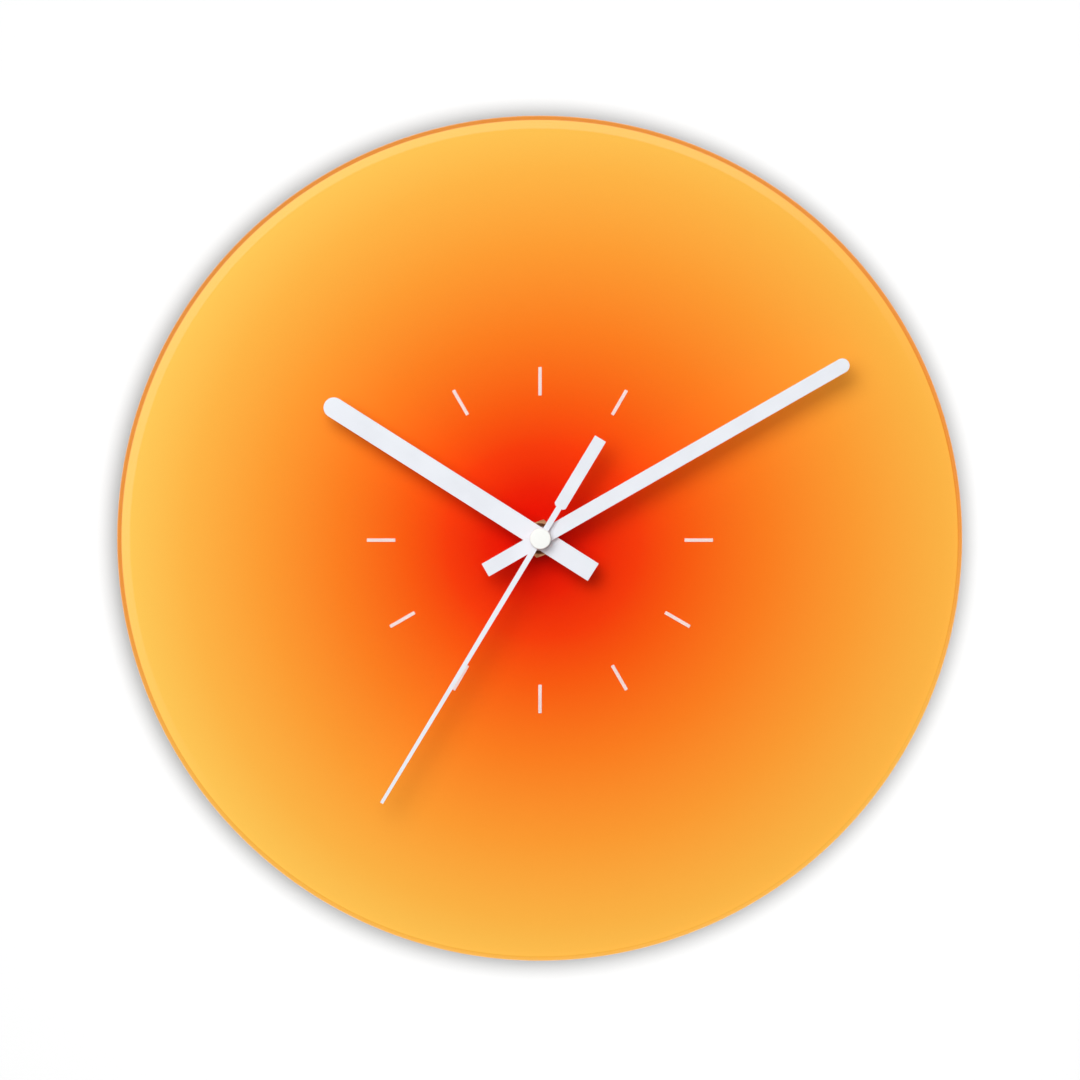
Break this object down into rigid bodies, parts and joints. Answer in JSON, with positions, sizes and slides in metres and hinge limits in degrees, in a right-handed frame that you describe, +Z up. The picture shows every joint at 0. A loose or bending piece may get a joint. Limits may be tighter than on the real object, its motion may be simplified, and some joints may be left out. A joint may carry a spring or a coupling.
{
  "type": "glass wall clock",
  "caption": "Round frameless glass wall clock with a radial colour print, short hour marks, three slim hands and a battery movement that hangs on a nail.",
  "frame": {"origin": "point where the hand axis meets the wall, on the rear face of the movement", "axes": "+Z up towards twelve, +X towards three, +Y into the wall, so the dial faces -Y"},
  "size_m": [0.3, 0.0329, 0.3],
  "materials": {
    "glass": "clear, polished, with a faint green edge",
    "print": "ink on the back of the glass, red in the middle fading to amber at the rim",
    "mark_ink": "pale ink behind the glass",
    "brass": "turned, slightly dull",
    "rubber": "matte",
    "zinc": "zinc plated, satin",
    "hand_paint": "sheet aluminium painted satin white",
    "cap_plastic": "white, smooth",
    "black_plastic": "fine moulded texture",
    "white_plastic": "natural acetal",
    "grey_plastic": "satin",
    "steel": "nickel plated",
    "magnet": "sintered, dark grey",
    "copper": "enamelled copper wire",
    "board": "green solder mask",
    "battery_label": "plain shrink sleeve"
  },
  "bodies": {
    "clock_body": {"glass_pane": "glass", "print_layer": "print", "hour_mark_01": "mark_ink", "hour_mark_02": "mark_ink", "hour_mark_03": "mark_ink", "hour_mark_04": "mark_ink", "hour_mark_05": "mark_ink", "hour_mark_06": "mark_ink", "hour_mark_07": "mark_ink", "hour_mark_08": "mark_ink", "hour_mark_09": "mark_ink", "hour_mark_10": "mark_ink", "hour_mark_11": "mark_ink", "hour_mark_12": "mark_ink", "fixing_nut": "brass", "nut_washer": "brass", "rubber_washer": "rubber", "threaded_bush": "zinc", "front_case": "black_plastic", "rear_cover": "black_plastic", "middle_plate": "white_plastic", "train_plate": "white_plastic", "stator": "steel", "coil_core": "steel", "coil_bobbin": "grey_plastic", "coil_winding": "copper", "battery_cell": "steel", "battery_sleeve": "battery_label", "contact_positive": "steel", "contact_negative": "steel", "circuit_board": "board", "quartz_crystal": "steel", "driver_chip": "black_plastic"},
    "hour": {"hour_hand": "hand_paint", "hour_collet": "zinc", "hour_wheel": "white_plastic"},
    "minute": {"minute_hand": "hand_paint", "minute_arbor": "brass", "clutch_washer": "steel"},
    "second": {"second_hand": "hand_paint", "second_cap": "cap_plastic", "second_wheel": "white_plastic"},
    "motion": {"minute_wheel": "white_plastic"},
    "setting": {"setting_stem": "white_plastic", "setting_knob": "grey_plastic"},
    "centre": {"centre_wheel": "white_plastic"},
    "third": {"third_wheel": "white_plastic"},
    "intermediate": {"intermediate_wheel": "white_plastic"},
    "rotor": {"rotor_pinion": "white_plastic", "rotor_magnet": "magnet"}
  },
  "joints": [
    {"name": "second_hand_turn", "type": "hinge", "parent": "clock_body", "child": "second", "pos_m": [0, -0.03, 0], "axis": [0, 1, 0], "continuous": true},
    {"name": "minute_hand_turn", "type": "hinge", "parent": "clock_body", "child": "minute", "pos_m": [0, -0.028, 0], "axis": [0, 1, 0], "continuous": true},
    {"name": "hour_hand_turn", "type": "hinge", "parent": "clock_body", "child": "hour", "pos_m": [0, -0.026, 0], "axis": [0, 1, 0], "continuous": true},
    {"name": "minute_wheel_turn", "type": "hinge", "parent": "clock_body", "child": "motion", "pos_m": [-0.0084, -0.0125, 0], "axis": [0, 1, 0], "continuous": true},
    {"name": "setting_knob_turn", "type": "hinge", "parent": "clock_body", "child": "setting", "pos_m": [-0.01674, -0.0017, -0.00102], "axis": [0, 1, 0], "continuous": true},
    {"name": "centre_wheel_turn", "type": "hinge", "parent": "clock_body", "child": "centre", "pos_m": [0, -0.0112, 0], "axis": [0, 1, 0], "continuous": true},
    {"name": "third_wheel_turn", "type": "hinge", "parent": "clock_body", "child": "third", "pos_m": [0.00737, -0.0088, 0.00516], "axis": [0, 1, 0], "continuous": true},
    {"name": "intermediate_wheel_turn", "type": "hinge", "parent": "clock_body", "child": "intermediate", "pos_m": [-0.00705, -0.0052, 0.00257], "axis": [0, 1, 0], "continuous": true},
    {"name": "rotor_turn", "type": "hinge", "parent": "clock_body", "child": "rotor", "pos_m": [-0.00944, -0.0083, 0.00914], "axis": [0, 1, 0], "continuous": true}
  ],
  "couplings": [
    {"joint": "intermediate_wheel_turn", "follows": "second_hand_turn", "ratio": -5},
    {"joint": "rotor_turn", "follows": "second_hand_turn", "ratio": 30},
    {"joint": "third_wheel_turn", "follows": "second_hand_turn", "ratio": -0.125},
    {"joint": "centre_wheel_turn", "follows": "second_hand_turn", "ratio": 0.016667},
    {"joint": "minute_wheel_turn", "follows": "minute_hand_turn", "ratio": -0.33333},
    {"joint": "hour_hand_turn", "follows": "minute_hand_turn", "ratio": 0.083333},
    {"joint": "setting_knob_turn", "follows": "minute_hand_turn", "ratio": 1}
  ]
}
